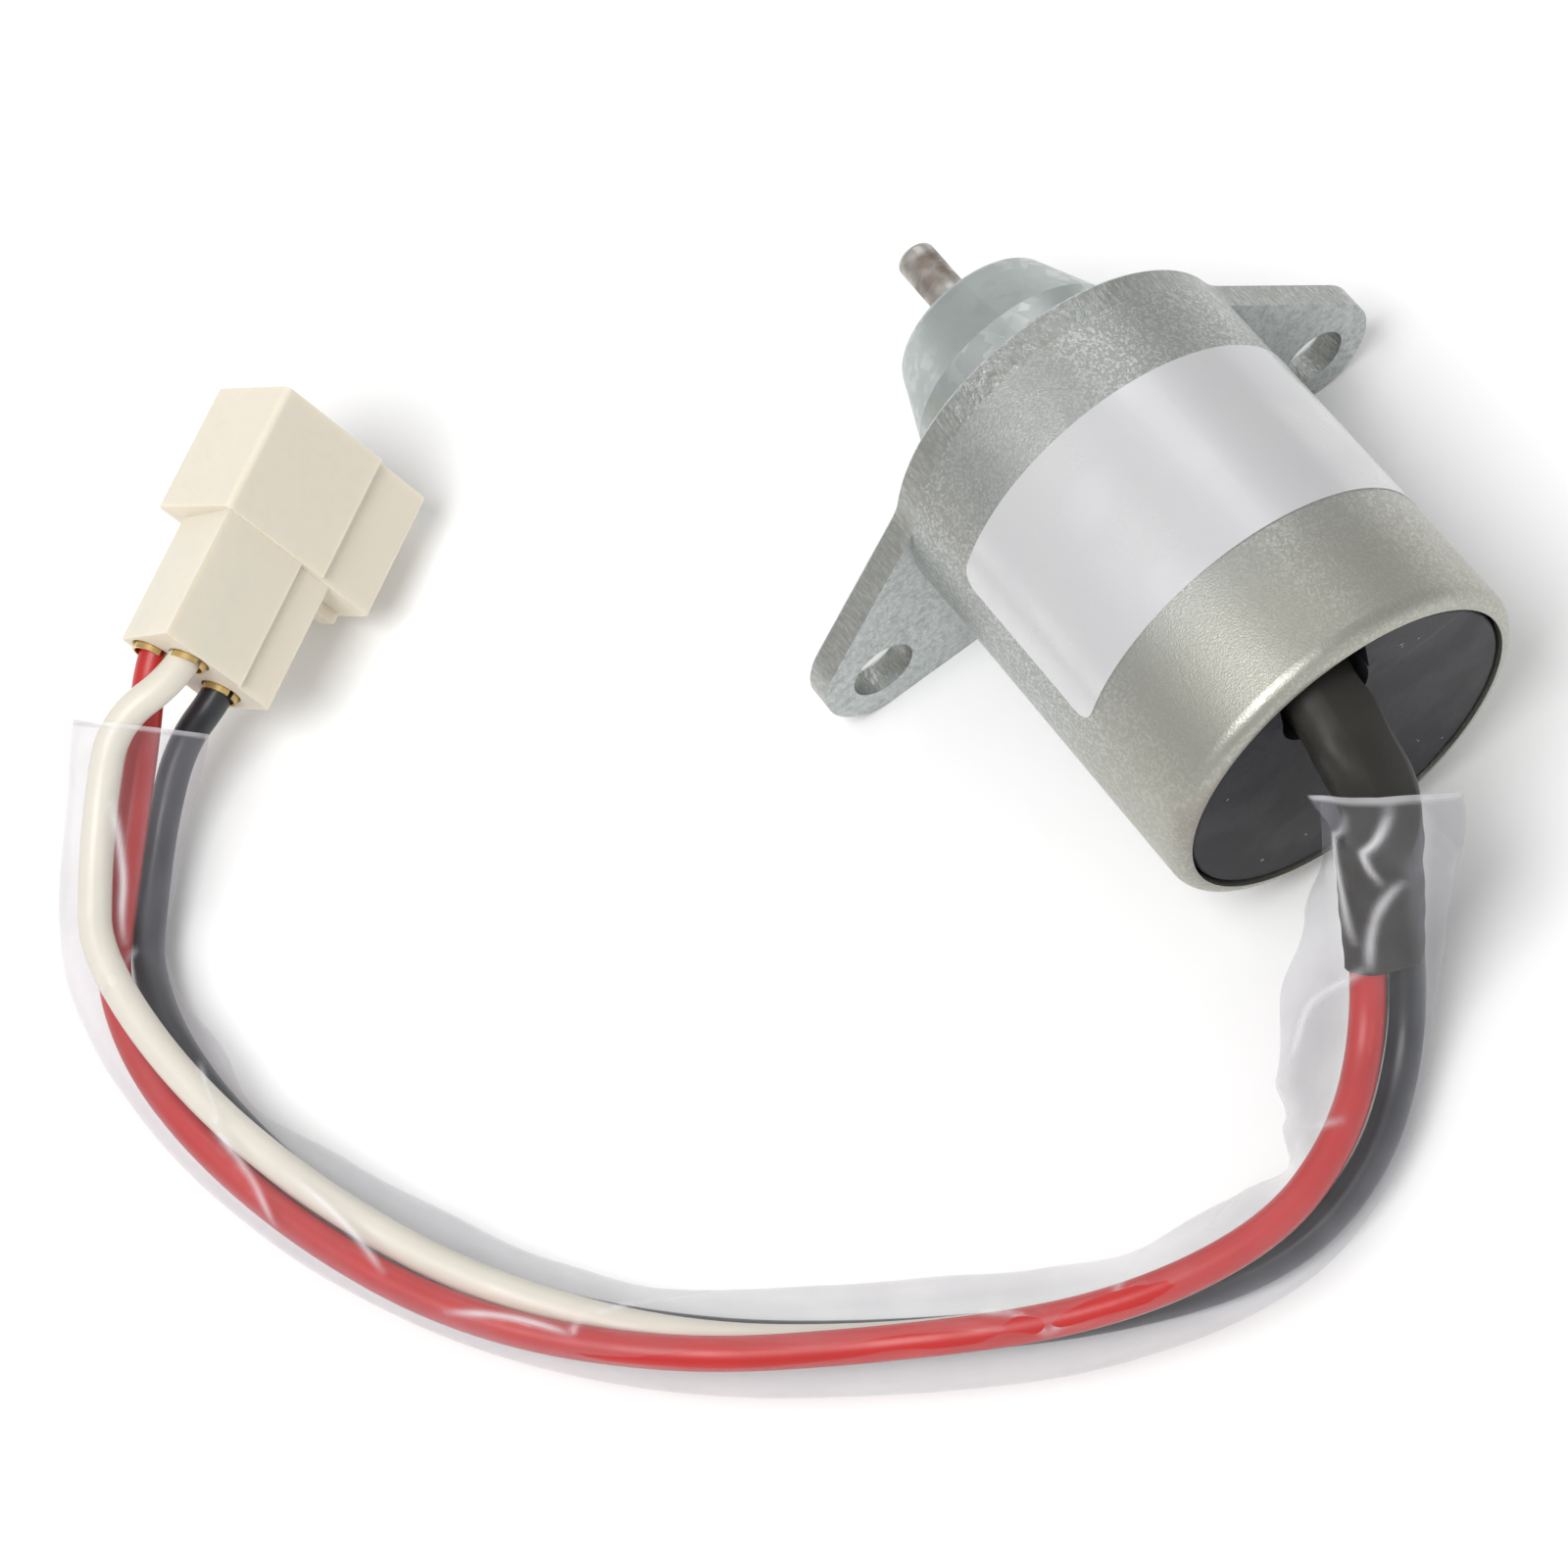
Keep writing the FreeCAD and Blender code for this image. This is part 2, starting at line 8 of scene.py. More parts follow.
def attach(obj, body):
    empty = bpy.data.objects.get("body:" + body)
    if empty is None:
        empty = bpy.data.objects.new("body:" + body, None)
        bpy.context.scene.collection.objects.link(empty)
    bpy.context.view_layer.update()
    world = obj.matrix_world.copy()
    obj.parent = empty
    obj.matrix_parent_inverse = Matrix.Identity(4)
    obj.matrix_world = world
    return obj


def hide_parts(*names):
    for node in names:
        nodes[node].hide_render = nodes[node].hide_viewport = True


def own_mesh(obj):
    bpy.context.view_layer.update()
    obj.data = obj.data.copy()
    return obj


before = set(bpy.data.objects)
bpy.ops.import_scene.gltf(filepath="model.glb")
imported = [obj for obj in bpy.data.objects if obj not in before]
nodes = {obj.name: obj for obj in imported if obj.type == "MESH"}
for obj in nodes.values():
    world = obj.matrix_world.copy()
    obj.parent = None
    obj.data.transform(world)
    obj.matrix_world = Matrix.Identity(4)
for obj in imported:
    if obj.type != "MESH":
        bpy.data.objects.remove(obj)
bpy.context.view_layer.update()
mm = 0.001

photoCamera = {  # places in metres
    "place": (-0.18501, 0.07231, 0.34106),
    "right": (-0.55383, -0.80691, -0.20533),
    "up": (0.70247, -0.58522, 0.40504),
    "focalPixels": 4250,
    "photoPixels": 1600,
    "sensorMm": 36,
    "near": 0.01,
    "far": 20,
}

studio = {
    "floorZ": -20.5 * mm,
    "floorSize": 3.0,
    "floorColour": (0.97, 0.97, 0.97, 1),
    "floorRough": 0.9,
    "skyColour": (1.0, 1.0, 1.0, 1),
    "skyStrength": 0.50,
    "exposure": 0.0,
    "aim": (-0.02, 0.03, 0),
    "lights": [
        {"name": "softTop", "place": (-0.10, 0.35, 0.75), "size": 0.45, "power": 5.0},
        {"name": "softSide", "place": (0.55, -0.35, 0.55), "size": 0.5, "power": 0.9},
        {"name": "lowFill", "place": (-0.65, -0.10, 0.25), "size": 0.5, "power": 0.4},
    ],
}

lieZ = -15.07  # height in mm of the middle of the wires where they lie on the floor
lead = {  # places and sizes in mm, cord lengths in metres
    "route": [
        (-34.6, 0.9, 12.2), (-51.9, 1.2, 10.8), (-54.6, 5.1, -4.8), (-62.0, 11.0, lieZ),
        (-69.6, 20.4, lieZ), (-72.4, 31.8, lieZ), (-68.0, 47.6, lieZ), (-57.8, 64.5, lieZ),
        (-46.3, 79.6, lieZ), (-31.0, 92.3, lieZ), (-13.0, 100.5, lieZ), (5.0, 104.3, lieZ),
        (19.0, 102.6, lieZ),
    ],
    "shared": 12,  # points of the route that every wire follows; its own bends come after them
    # how the red and the black wire lie round the white one at each shared point, in degrees
    "redAngle": [90, 90, 90, 86, 78, 72, 72, 70, 48, 6, -16, -38],
    "blackAngle": [30, 30, 28, 10, -14, -58, -102, -112, -112, -96, -90, -104],
    "spacing": 3.55,
    "wireR": 1.65,
    "roundSteps": 6,
    "runSteps": 10,
    "nearlyStraight": 0.001,  # half of a bend in radians
    "wires": {
        "wireRed": {
            "node": "wire_red", "cavity": (-4.4, 4.5), "length": 0.233, "entry": -14.2,
            "bends": [(18.4, 104.8, -15.5), (24.7, 99.5, -14.2), (31.3, 93.0, -11.8), (36.3, 87.6, -9.2)]},
        "wireBlack": {
            "node": "wire_black", "cavity": (-12.0, 6.8), "length": 0.230, "entry": -14.2,
            "bends": [(18.5, 101.4, -17.3), (26.1, 95.7, -16.7), (31.7, 90.2, -14.9), (35.2, 84.9, -12.4)]},
        "wireWhite": {
            "node": "wire_white", "cavity": (-5.8, 9.0), "length": 0.229, "entry": -15.4,
            "bends": [(20.6, 103.6, -11.3), (26.5, 99.2, -9.2), (31.9, 94.3, -6.8), (35.9, 88.9, -3.2)]},
    },
}

plug = {  # the connector's own corner and directions, and its wire block in mm
    "corner": (52.85, 73.27, -2.15),
    "alongX": (0.529, -0.848, 0.0),
    "alongZ": (-0.736, -0.459, 0.497),
    "blockL": 14.0,
    "wireIn": 5.0,
}


def unit(v):
    return v / np.linalg.norm(v)


def bundleOffset(points, i, outward, upward):
    # corner of one wire's run, set off from the bundle's corner
    into = unit(points[i] - points[i - 1]) if i else unit(points[1] - points[0])
    out = unit(points[i + 1] - points[i]) if i + 1 < len(points) else into
    mean = unit(into + out)
    side = unit(np.cross((0, 0, 1), mean))
    offset = side * outward + np.cross(mean, side) * upward
    half = math.acos(min(1.0, float(into @ out))) / 2
    if half < lead["nearlyStraight"]:
        return points[i] + offset
    normal = unit(np.cross(into, out))
    bend = np.cross(normal, mean)
    return points[i] + bend * (offset @ bend) / math.cos(half) + normal * (offset @ normal)


def placeInBundle(i):
    # where each wire's middle lies round the middle of the bundle at one shared point
    turns = np.radians((lead["redAngle"][i], lead["blackAngle"][i]))
    red, black = (lead["spacing"] * np.array((math.cos(turn), math.sin(turn))) for turn in turns)
    white = -(red + black) / 3
    return {"wireRed": white + red, "wireBlack": white + black, "wireWhite": white}


def plugPoint(x, y, z):
    # from the connector's own directions to the part's
    alongX, alongZ = np.array(plug["alongX"]), np.array(plug["alongZ"])
    return np.array(plug["corner"]) + alongX * x + np.cross(alongZ, alongX) * y + alongZ * z


def wirePoints(name):
    wire = lead["wires"][name]
    route = np.array(lead["route"])
    points = [bundleOffset(route, i, *placeInBundle(i)[name]) for i in range(lead["shared"])]
    points += [np.array(bend) for bend in wire["bends"]]
    points.append(plugPoint(wire["entry"], *wire["cavity"]))
    points.append(plugPoint(-plug["blockL"] + plug["wireIn"], *wire["cavity"]))
    return [Vector(p) * mm for p in points]


def nurbsCord(name, points, radius):
    data = bpy.data.curves.new(name, "CURVE")
    data.dimensions = "3D"
    data.bevel_depth = 1.0 if radius else 0.0  # times the radius kept at each point
    data.bevel_resolution = lead["roundSteps"]
    data.resolution_u = lead["runSteps"]
    data.use_fill_caps = True
    spline = data.splines.new("NURBS")
    spline.points.add(len(points) - 1)
    for point, co in zip(spline.points, points):
        point.co = (*co, 1)
        point.radius = radius
    spline.order_u = 3
    spline.use_endpoint_u = True
    piece = bpy.data.objects.new(name, data)
    bpy.context.scene.collection.objects.link(piece)
    return piece


def makeCamera():
    right, up = Vector(photoCamera["right"]), Vector(photoCamera["up"])
    back = right.cross(up)
    data = bpy.data.cameras.new("photoCamera")
    data.sensor_width = photoCamera["sensorMm"]
    data.lens = photoCamera["focalPixels"] / photoCamera["photoPixels"] * data.sensor_width
    data.clip_start, data.clip_end = photoCamera["near"], photoCamera["far"]
    camera = bpy.data.objects.new("photoCamera", data)
    turn = Matrix((right, up, back)).transposed()
    camera.matrix_world = Matrix.Translation(photoCamera["place"]) @ turn.to_4x4()
    bpy.context.scene.collection.objects.link(camera)
    bpy.context.scene.camera = camera


def makeStudio():
    scene = bpy.context.scene
    scene.view_settings.view_transform = "Standard"
    scene.view_settings.exposure = studio["exposure"]
    world = bpy.data.worlds.new("studioSky")
    world.use_nodes = True
    sky = world.node_tree.nodes["Background"]
    sky.inputs["Color"].default_value = studio["skyColour"]
    sky.inputs["Strength"].default_value = studio["skyStrength"]
    scene.world = world
    bpy.ops.mesh.primitive_plane_add(size=studio["floorSize"], location=(0, 0, studio["floorZ"]))
    floor = bpy.context.object
    floor.name = "paleFloor"
    paint = bpy.data.materials.new("paleFloor")
    paint.use_nodes = True
    shade = paint.node_tree.nodes["Principled BSDF"]
    shade.inputs["Base Color"].default_value = studio["floorColour"]
    shade.inputs["Roughness"].default_value = studio["floorRough"]
    floor.data.materials.append(paint)
    for spec in studio["lights"]:
        data = bpy.data.lights.new(spec["name"], "AREA")
        data.size = spec["size"]
        data.energy = spec["power"]
        lamp = bpy.data.objects.new(spec["name"], data)
        lamp.location = spec["place"]
        aim = Vector(studio["aim"]) - Vector(spec["place"])
        lamp.rotation_mode = "QUATERNION"
        lamp.rotation_quaternion = aim.to_track_quat("-Z", "Y")
        scene.collection.objects.link(lamp)


class Graph:
    # short way to add and join the nodes of a material or a group
    def __init__(self, tree):
        self.tree = tree

    def add(self, kind, settings=None, **inputs):
        node = self.tree.nodes.new(kind)
        for key, value in (settings or {}).items():
            setattr(node, key, value)
        for key, value in inputs.items():
            self.feed(node, key, value)
        return node

    def feed(self, node, key, value):
        socket = node.inputs[int(key[2:])] if key.startswith("in") and key[2:].isdigit() else None
        if socket is None:
            socket = node.inputs[key.replace("_", " ")]
        if isinstance(value, bpy.types.NodeSocket):
            self.tree.links.new(value, socket)
        elif isinstance(value, bpy.types.Node):
            self.tree.links.new(value.outputs[0], socket)
        else:
            socket.default_value = value

    def math(self, operation, a, b=0.0, clamp=False):
        return self.add("ShaderNodeMath", {"operation": operation, "use_clamp": clamp}, in0=a, in1=b)

    def span(self, value, low, high, toLow=0.0, toHigh=1.0):
        return self.add("ShaderNodeMapRange", {"interpolation_type": "SMOOTHSTEP"}, Value=value,
                        From_Min=low, From_Max=high, To_Min=toLow, To_Max=toHigh)

    def mix(self, factor, a, b):
        node = self.add("ShaderNodeMix", {"data_type": "RGBA"})
        for index, value in ((0, factor), (6, a), (7, b)):
            self.feed(node, "in" + str(index), value)
        return node.outputs[2]


def startGroup(name, inputs, outputs):
    tree = bpy.data.node_groups.new(name, "ShaderNodeTree")
    for label, value in inputs:
        socket = tree.interface.new_socket(label, in_out="INPUT", socket_type="NodeSocketFloat")
        socket.default_value = value
    for label in outputs:
        tree.interface.new_socket(label, in_out="OUTPUT", socket_type="NodeSocketFloat")
    graph = Graph(tree)
    return tree, graph, graph.add("NodeGroupInput").outputs, graph.add("NodeGroupOutput")


def finishGroup(graph, end, results):
    for label, value in results.items():
        socket = value if isinstance(value, bpy.types.NodeSocket) else value.outputs[0]
        graph.tree.links.new(socket, end.inputs[label])


def millimetres(graph, stretch=(1, 1, 1)):
    place = graph.add("ShaderNodeTexCoord").outputs["Object"]
    return graph.add("ShaderNodeMapping", Vector=place, Scale=tuple(s / mm for s in stretch))


grainLook = {"grainPerMm": 3.0, "crystalPerMm": 1.6, "depth": 0.5, "crystalDepth": 0.4, "cloudPerMm": 0.12}


def grainGroup():
    # fine orange-peel grain with brighter crystals
    tree, graph, given, end = startGroup(
        "metalGrain",
        [("GrainPerMm", grainLook["grainPerMm"]), ("CrystalPerMm", grainLook["crystalPerMm"]),
         ("Depth", grainLook["depth"])],
        ["Height", "Sparkle", "Cloud"])
    place = millimetres(graph)
    fine = graph.add("ShaderNodeTexNoise", Vector=place, Scale=given["GrainPerMm"], Detail=3.0)
    cell = graph.add("ShaderNodeTexVoronoi", Vector=place, Scale=given["CrystalPerMm"])
    tone = graph.add("ShaderNodeSeparateColor", Color=cell.outputs["Color"])
    cloud = graph.add("ShaderNodeTexNoise", Vector=place, Scale=grainLook["cloudPerMm"], Detail=2.0)
    crystals = graph.math("MULTIPLY", tone, grainLook["crystalDepth"])
    height = graph.math("MULTIPLY", graph.math("ADD", fine, crystals), given["Depth"])
    finishGroup(graph, end, {"Height": height, "Sparkle": graph.span(tone, 0.35, 1.0),
                             "Cloud": graph.span(cloud, 0.35, 0.65)})
    return tree


dustLook = {"perMm": 0.45, "size": 0.06, "wobblePerMm": 1.4, "wobbleMm": 1.5, "leftOut": 0.55}


def dustGroup():
    # small pale specks scattered over a dark face
    tree, graph, given, end = startGroup(
        "dustSpecks", [("PerMm", dustLook["perMm"]), ("Size", dustLook["size"])], ["Mask"])
    place = millimetres(graph)
    wobble = graph.add("ShaderNodeTexNoise", Vector=place, Scale=dustLook["wobblePerMm"])
    shifted = graph.add("ShaderNodeVectorMath", {"operation": "MULTIPLY_ADD"}, in0=wobble.outputs["Color"],
                        in1=[dustLook["wobbleMm"]] * 3, in2=place)
    cell = graph.add("ShaderNodeTexVoronoi", Vector=shifted, Scale=given["PerMm"])
    pick = graph.add("ShaderNodeSeparateColor", Color=cell.outputs["Color"])
    near = graph.math("LESS_THAN", cell.outputs["Distance"], given["Size"])
    some = graph.math("GREATER_THAN", pick, dustLook["leftOut"])
    finishGroup(graph, end, {"Mask": graph.math("MULTIPLY", near, some)})
    return tree


shearedLook = {"tearPerMm": 2.2, "tearStretch": (0.4, 1, 1), "faceOn": 0.75, "edgeOn": 0.35}


def shearedGroup():
    # 1 on faces that look sideways from the solenoid axis, with tearing marks drawn out along it
    tree, graph, given, end = startGroup(
        "shearedEdge", [("TearPerMm", shearedLook["tearPerMm"])], ["Mask", "Height"])
    normal = graph.add("ShaderNodeNewGeometry").outputs["Normal"]
    alongAxis = graph.math("ABSOLUTE", graph.add("ShaderNodeSeparateXYZ", Vector=normal))
    tear = graph.add("ShaderNodeTexNoise", Vector=millimetres(graph, shearedLook["tearStretch"]),
                     Scale=given["TearPerMm"], Detail=4.0, Distortion=0.2)
    finishGroup(graph, end, {"Mask": graph.span(alongAxis, shearedLook["faceOn"], shearedLook["edgeOn"]),
                             "Height": graph.span(tear, 0.3, 0.7)})
    return tree


wearLook = {"from": 0.54, "to": 0.64, "breaksPerMm": 0.9}


def wearGroup():
    # lighter metal or plastic along outside edges
    tree, graph, given, end = startGroup(
        "edgeWear", [("From", wearLook["from"]), ("To", wearLook["to"])], ["Mask"])
    point = graph.add("ShaderNodeNewGeometry").outputs["Pointiness"]
    broken = graph.add("ShaderNodeTexNoise", Vector=millimetres(graph), Scale=wearLook["breaksPerMm"],
                       Detail=3.0)
    edge = graph.add("ShaderNodeMapRange", Value=point, From_Min=given["From"], From_Max=given["To"])
    finishGroup(graph, end, {"Mask": graph.math("MULTIPLY", edge, graph.span(broken, 0.3, 0.6))})
    return tree


turnedLook = {"linesPerMm": 2.0, "lineStretch": (1, 0.02, 0.02),
              "stainsPerMm": 0.6, "stainStretch": (1, 0.5, 0.5)}


def turnedGroup():
    # fine lines turned round the solenoid axis, with stains that follow them
    tree, graph, given, end = startGroup(
        "turnedLines", [("LinesPerMm", turnedLook["linesPerMm"])], ["Height", "Tone"])
    lines = graph.add("ShaderNodeTexNoise", Vector=millimetres(graph, turnedLook["lineStretch"]),
                      Scale=given["LinesPerMm"], Detail=5.0)
    tone = graph.add("ShaderNodeTexNoise", Vector=millimetres(graph, turnedLook["stainStretch"]),
                     Scale=turnedLook["stainsPerMm"], Detail=4.0)
    finishGroup(graph, end, {"Height": lines, "Tone": graph.span(tone, 0.3, 0.7)})
    return tree


groups = {
    "grain": grainGroup(),
    "dust": dustGroup(),
    "sheared": shearedGroup(),
    "wear": wearGroup(),
    "turned": turnedGroup(),
}
print("shared effects made:", ", ".join(groups))


def effect(graph, name, **values):
    node = graph.add("ShaderNodeGroup", {"node_tree": groups[name]})
    for key, value in values.items():
        graph.feed(node, key, value)
    return node.outputs


def startMaterial(name, **plain):
    material = bpy.data.materials.new(name)
    material.use_nodes = True
    shade = material.node_tree.nodes["Principled BSDF"]
    graph = Graph(material.node_tree)
    for key, value in plain.items():
        graph.feed(shade, key, value)
    return material, graph, shade


def bump(graph, shade, height, depthMm):
    node = graph.add("ShaderNodeBump", Height=height, Distance=depthMm * mm, Strength=1.0)
    graph.feed(shade, "Normal", node)


plating = {"rougher": 0.05, "smoother": -0.06, "warmShare": 0.6, "tornShare": (0.25, 0.8), "tornHeight": 1.2}


def platedSteel(spec):
    material, graph, shade = startMaterial(spec["name"], Metallic=spec["metallic"])
    grain = effect(graph, "grain", GrainPerMm=spec["grainPerMm"], CrystalPerMm=spec["crystalPerMm"])
    wear = effect(graph, "wear")
    tone = graph.mix(grain["Cloud"], spec["colour"], spec["shade"])
    tone = graph.mix(graph.math("MULTIPLY", grain["Sparkle"], spec["sparkle"]), tone, spec["bright"])
    tone = graph.mix(graph.math("MULTIPLY", wear["Mask"], spec["worn"]), tone, spec["bright"])
    if spec.get("warm"):
        place = graph.add("ShaderNodeTexCoord").outputs["Object"]
        back = graph.span(graph.add("ShaderNodeSeparateXYZ", Vector=place), spec["warmFromMm"] * mm,
                          spec["warmToMm"] * mm, 0.0, plating["warmShare"])
        tone = graph.mix(back, tone, spec["warm"])
    rough = graph.span(grain["Sparkle"], 0, 1, spec["rough"] + plating["rougher"],
                       spec["rough"] + plating["smoother"])
    height = grain["Height"]
    if spec.get("torn"):
        edge = effect(graph, "sheared")
        torn = graph.math("MULTIPLY", edge["Mask"], graph.span(edge["Height"], 0, 1, *plating["tornShare"]))
        tone = graph.mix(torn, tone, spec["torn"])
        tear = graph.math("MULTIPLY", edge["Height"], plating["tornHeight"])
        height = graph.math("ADD", height, graph.math("MULTIPLY", edge["Mask"], tear))
    graph.feed(shade, "Base_Color", tone)
    graph.feed(shade, "Roughness", rough)
    bump(graph, shade, height, spec["bumpMm"])
    return material


finishes = {
    "can": {"name": "grainedZincCan", "metallic": 0.9, "colour": (0.385, 0.40, 0.388, 1),
            "shade": (0.36, 0.375, 0.365, 1), "bright": (0.68, 0.69, 0.66, 1), "sparkle": 0.55,
            "grainPerMm": 5.0, "crystalPerMm": 4.5, "rough": 0.40, "bumpMm": 0.045, "worn": 0.12,
            "warm": (0.43, 0.42, 0.35, 1), "warmFromMm": -22.0, "warmToMm": -38.0},
    "flange": {"name": "stampedZincFlange", "metallic": 0.9, "colour": (0.37, 0.405, 0.40, 1),
               "shade": (0.34, 0.37, 0.37, 1), "bright": (0.66, 0.68, 0.67, 1), "sparkle": 0.35,
               "grainPerMm": 4.0, "crystalPerMm": 3.5, "rough": 0.36, "bumpMm": 0.035, "worn": 0.5,
               "torn": (0.36, 0.36, 0.33, 1)},
    "nose": {"name": "smoothCastNose", "metallic": 0.85, "colour": (0.48, 0.52, 0.51, 1),
             "shade": (0.42, 0.46, 0.45, 1), "bright": (0.74, 0.77, 0.77, 1), "sparkle": 0.12,
             "grainPerMm": 1.2, "crystalPerMm": 1.0, "rough": 0.36, "bumpMm": 0.02, "worn": 0.3},
}


stainRougher = 0.15


def turnedSteel(spec):
    material, graph, shade = startMaterial(spec["name"], Metallic=spec["metallic"])
    lines = effect(graph, "turned", LinesPerMm=spec["linesPerMm"])
    graph.feed(shade, "Base_Color", graph.mix(lines["Tone"], spec["colour"], spec["stain"]))
    graph.feed(shade, "Roughness", graph.span(lines["Tone"], 0, 1, spec["rough"],
                                              spec["rough"] + stainRougher))
    bump(graph, shade, lines["Height"], spec["bumpMm"])
    return material


turnings = {
    "rod": {"name": "stainedSteelRod", "metallic": 0.8, "colour": (0.52, 0.50, 0.48, 1),
            "stain": (0.24, 0.20, 0.17, 1), "linesPerMm": 3.0, "rough": 0.35, "bumpMm": 0.02},
    "core": {"name": "turnedCoreSteel", "metallic": 0.9, "colour": (0.56, 0.57, 0.58, 1),
             "stain": (0.42, 0.42, 0.42, 1), "linesPerMm": 4.0, "rough": 0.3, "bumpMm": 0.01},
    "brass": {"name": "drawnBrassTube", "metallic": 1.0, "colour": (0.80, 0.60, 0.28, 1),
              "stain": (0.62, 0.44, 0.20, 1), "linesPerMm": 3.0, "rough": 0.25, "bumpMm": 0.01},
    "bronze": {"name": "sinteredBronzeBush", "metallic": 0.9, "colour": (0.60, 0.42, 0.24, 1),
               "stain": (0.42, 0.28, 0.16, 1), "linesPerMm": 1.0, "rough": 0.5, "bumpMm": 0.03},
    "copper": {"name": "enamelledCopperTurns", "metallic": 0.8, "colour": (0.72, 0.30, 0.14, 1),
               "stain": (0.50, 0.18, 0.08, 1), "linesPerMm": 1.8, "rough": 0.3, "bumpMm": 0.15},
    "spring": {"name": "springWire", "metallic": 0.95, "colour": (0.50, 0.50, 0.50, 1),
               "stain": (0.35, 0.34, 0.32, 1), "linesPerMm": 3.0, "rough": 0.3, "bumpMm": 0.01},
}


moulding = {
    "ior": 1.5, "specular": 0.5, "crystalPerMm": 0.8, "wornShare": 0.35, "rougher": 0.1,
    "dustSize": 0.05, "dustShare": 0.7, "dustColour": (0.5, 0.48, 0.46, 1),
    "glow": 0.6, "glowReach": (1.0, 0.8, 0.5),  # light that goes into pale nylon
}


def mouldedPlastic(spec):
    material, graph, shade = startMaterial(spec["name"], IOR=moulding["ior"],
                                           Specular_IOR_Level=spec.get("specular", moulding["specular"]))
    grain = effect(graph, "grain", GrainPerMm=spec["grainPerMm"], CrystalPerMm=moulding["crystalPerMm"])
    wear = effect(graph, "wear")
    tone = graph.mix(grain["Cloud"], spec["colour"], spec["shade"])
    tone = graph.mix(graph.math("MULTIPLY", wear["Mask"], moulding["wornShare"]), tone, spec["bright"])
    if spec.get("dustPerMm"):
        dust = effect(graph, "dust", PerMm=spec["dustPerMm"], Size=moulding["dustSize"])
        tone = graph.mix(graph.math("MULTIPLY", dust["Mask"], moulding["dustShare"]), tone,
                         moulding["dustColour"])
    graph.feed(shade, "Base_Color", tone)
    graph.feed(shade, "Roughness", graph.span(grain["Cloud"], 0, 1, spec["rough"],
                                              spec["rough"] + moulding["rougher"]))
    if spec.get("depthMm"):
        graph.feed(shade, "Subsurface_Weight", moulding["glow"])
        graph.feed(shade, "Subsurface_Scale", spec["depthMm"] * mm)
        graph.feed(shade, "Subsurface_Radius", moulding["glowReach"])
    bump(graph, shade, grain["Height"], spec["bumpMm"])
    return material


plastics = {
    "cap": {"name": "flatBlackCap", "colour": (0.018, 0.0175, 0.022, 1), "shade": (0.023, 0.022, 0.027, 1),
            "bright": (0.12, 0.12, 0.13, 1), "rough": 0.42, "grainPerMm": 1.5, "bumpMm": 0.03,
            "specular": 0.28, "dustPerMm": 0.28},
    "potting": {"name": "curedResin", "colour": (0.03, 0.03, 0.03, 1), "shade": (0.05, 0.05, 0.05, 1),
                "bright": (0.08, 0.08, 0.08, 1), "rough": 0.3, "grainPerMm": 0.6, "bumpMm": 0.05},
    "bobbin": {"name": "filledNylonBobbin", "colour": (0.08, 0.08, 0.09, 1), "shade": (0.11, 0.11, 0.12, 1),
               "bright": (0.2, 0.2, 0.2, 1), "rough": 0.45, "grainPerMm": 2.0, "bumpMm": 0.02},
    "seal": {"name": "softSealRubber", "colour": (0.03, 0.03, 0.03, 1), "shade": (0.05, 0.05, 0.05, 1),
             "bright": (0.08, 0.08, 0.08, 1), "rough": 0.6, "grainPerMm": 2.0, "bumpMm": 0.02},
    "tape": {"name": "yellowCoilTape", "colour": (0.70, 0.52, 0.15, 1), "shade": (0.62, 0.45, 0.12, 1),
             "bright": (0.8, 0.65, 0.3, 1), "rough": 0.3, "grainPerMm": 1.0, "bumpMm": 0.02},
    "housing": {"name": "ivoryNylonHousing", "colour": (0.77, 0.715, 0.60, 1),
                "shade": (0.76, 0.705, 0.59, 1), "bright": (0.82, 0.77, 0.66, 1), "rough": 0.42,
                "grainPerMm": 1.0, "bumpMm": 0.02, "depthMm": 1.2},
    "red": {"name": "redWireSkin", "colour": (0.50, 0.022, 0.020, 1), "shade": (0.46, 0.018, 0.017, 1),
            "bright": (0.7, 0.1, 0.09, 1), "rough": 0.34, "grainPerMm": 0.8, "bumpMm": 0.03},
    "white": {"name": "ivoryWireSkin", "colour": (0.72, 0.68, 0.59, 1), "shade": (0.69, 0.65, 0.56, 1),
              "bright": (0.85, 0.83, 0.75, 1), "rough": 0.36, "grainPerMm": 0.8, "bumpMm": 0.03},
    "black": {"name": "blackWireSkin", "colour": (0.016, 0.018, 0.022, 1), "shade": (0.024, 0.026, 0.031, 1),
              "bright": (0.06, 0.06, 0.07, 1), "rough": 0.33, "grainPerMm": 0.8, "bumpMm": 0.03},
    "shrink": {"name": "blackShrinkTube", "colour": (0.018, 0.017, 0.014, 1),
               "shade": (0.025, 0.023, 0.019, 1), "bright": (0.07, 0.065, 0.055, 1), "rough": 0.46,
               "grainPerMm": 1.0, "bumpMm": 0.05, "specular": 0.4},
}


def blankLabel(spec):
    material, graph, shade = startMaterial(spec["name"], Metallic=spec["metallic"],
                                           Coat_Weight=spec["coat"])
    grain = effect(graph, "grain", GrainPerMm=spec["grainPerMm"], CrystalPerMm=spec["crystalPerMm"])
    tone = graph.mix(grain["Cloud"], spec["colour"], spec["shade"])
    graph.feed(shade, "Base_Color", tone)
    graph.feed(shade, "Roughness", graph.span(grain["Cloud"], 0, 1, *spec["rough"]))
    bump(graph, shade, grain["Height"], spec["bumpMm"])
    return material


